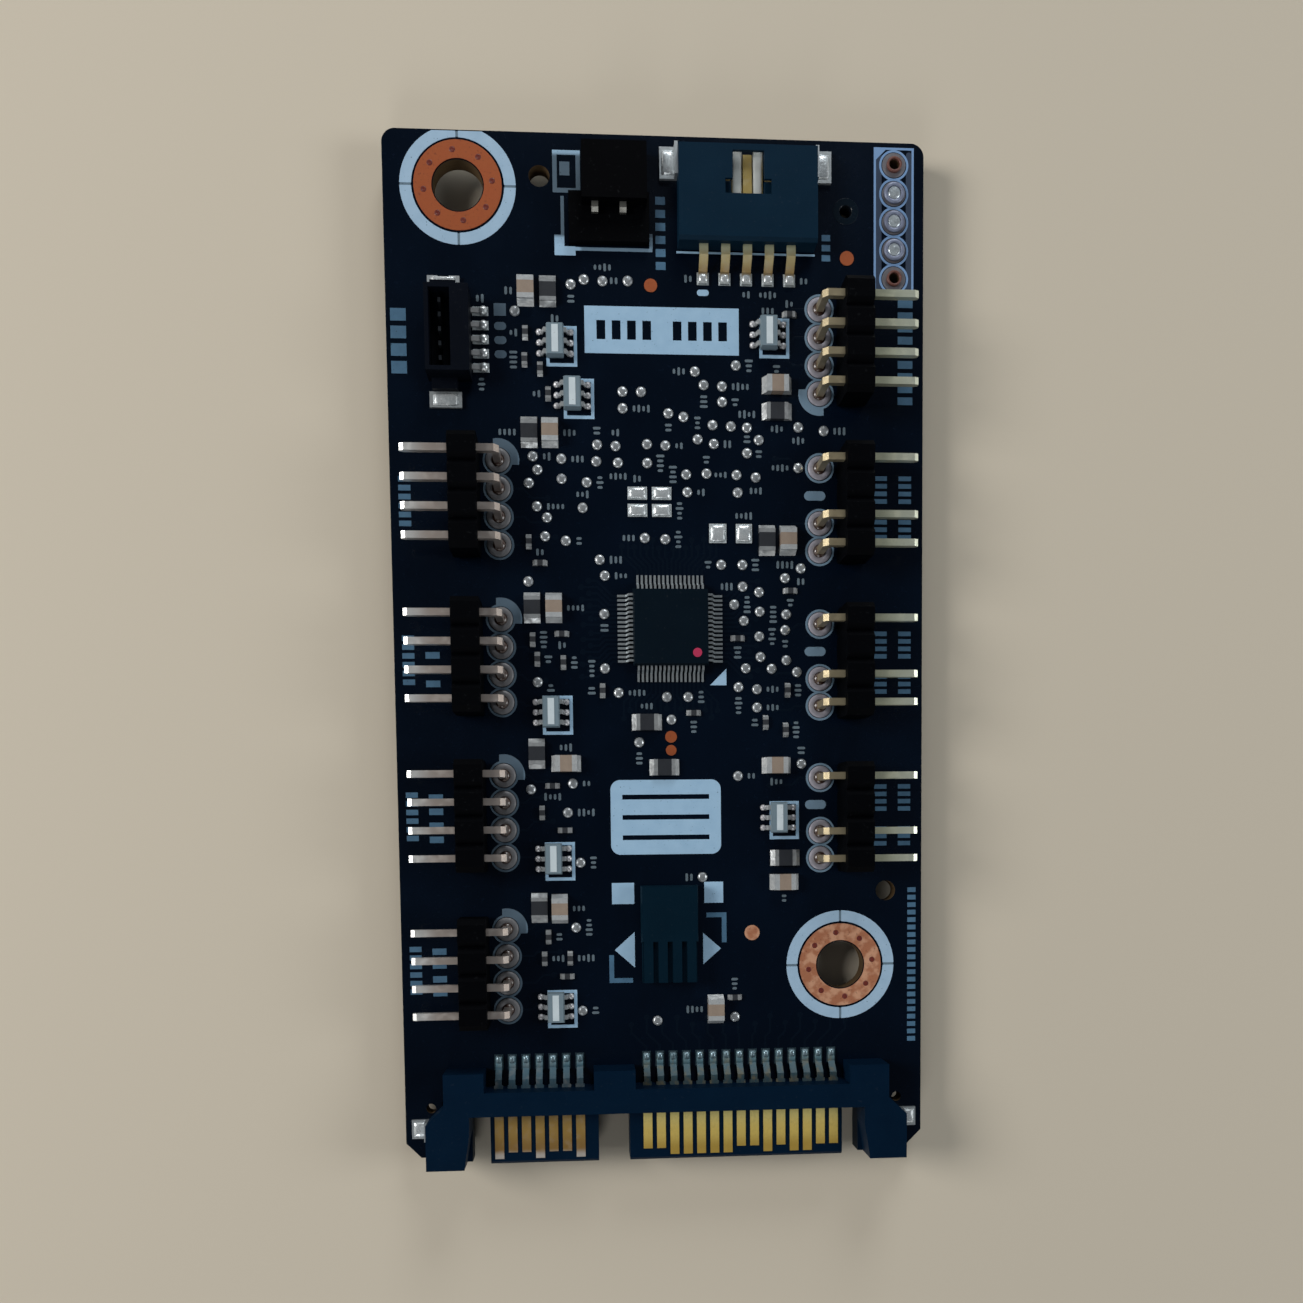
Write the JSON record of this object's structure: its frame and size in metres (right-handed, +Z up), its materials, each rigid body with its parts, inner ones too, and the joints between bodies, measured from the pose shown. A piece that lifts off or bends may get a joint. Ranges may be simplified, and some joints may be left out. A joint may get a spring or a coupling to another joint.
{
  "type": "led board",
  "caption": "Lighting controller circuit board with a drive-style plug at one end, right-angle pin headers along both sides, small sockets and a quad flat chip.",
  "frame": {"origin": "middle of the overall width and length, level with the ends of the header pins' tails under the board", "axes": "+X to the side of the longer right-hand header row, +Y from the drive plug towards the far edge with the sockets, +Z up from the component side"},
  "size_m": [0.0494, 0.094, 0.0073],
  "materials": {
    "solder_mask": "glossy black-blue solder mask over glass laminate",
    "bare_copper": "bare copper, satin, slightly tarnished",
    "white_ink": "white screen-printed ink",
    "blue_ink": "thin blue-white screen-printed ink",
    "header_plastic": "black glass-filled plastic",
    "pin_gold": "pale gold plating",
    "tinned_pad": "tinned copper, dull",
    "solder": "bright solder",
    "plug_plastic": "dark teal-navy moulded plastic",
    "contact_gold": "yellow gold plating on the blades, tinned tails",
    "tinned_steel": "tinned steel",
    "lamp_plastic": "dark teal-navy moulded plastic",
    "lamp_gold": "pale gold plating",
    "switch_plastic": "black moulded plastic",
    "side_plastic": "navy-black moulded plastic",
    "chip_black": "moulded epoxy, satin",
    "chip_lead": "tin-plated leads",
    "red_ink": "deep pink-red ink",
    "memory_epoxy": "dark teal moulded epoxy",
    "stripe_ink": "pale marking stripe",
    "ceramic_tan": "fired ceramic",
    "ceramic_dark": "dark glazed ceramic"
  },
  "bodies": {
    "root": {"circuit_board": "solder_mask", "mount_copper": "bare_copper", "copper_dots": "bare_copper", "mount_print": "white_ink", "white_print": "white_ink", "edge_print": "blue_ink", "left_header_bodies": "header_plastic", "left_header_pins": "pin_gold", "right_header_bodies": "header_plastic", "right_header_pins": "pin_gold", "ring_pads": "tinned_pad", "spare_solder": "solder", "solder_joints": "solder", "tinned_pads": "tinned_pad", "test_dots": "tinned_pad", "plug_housing": "plug_plastic", "signal_contacts": "contact_gold", "power_contacts": "contact_gold", "plug_tabs": "tinned_steel", "lamp_socket": "lamp_plastic", "lamp_contacts": "lamp_gold", "lamp_tabs": "tinned_steel", "switch_socket": "switch_plastic", "switch_pins": "pin_gold", "side_socket": "side_plastic", "side_contacts": "tinned_steel", "side_tabs": "tinned_steel", "controller": "chip_black", "controller_leads": "chip_lead", "controller_dot": "red_ink", "memory_chip": "memory_epoxy", "six_lead_chips": "chip_black", "six_lead_leads": "chip_lead", "six_lead_stripes": "stripe_ink", "capacitors": "ceramic_tan", "capacitor_ends": "solder", "resistors": "ceramic_dark", "resistor_ends": "solder", "small_resistors": "ceramic_dark", "small_resistor_ends": "solder"}
  },
  "joints": []
}
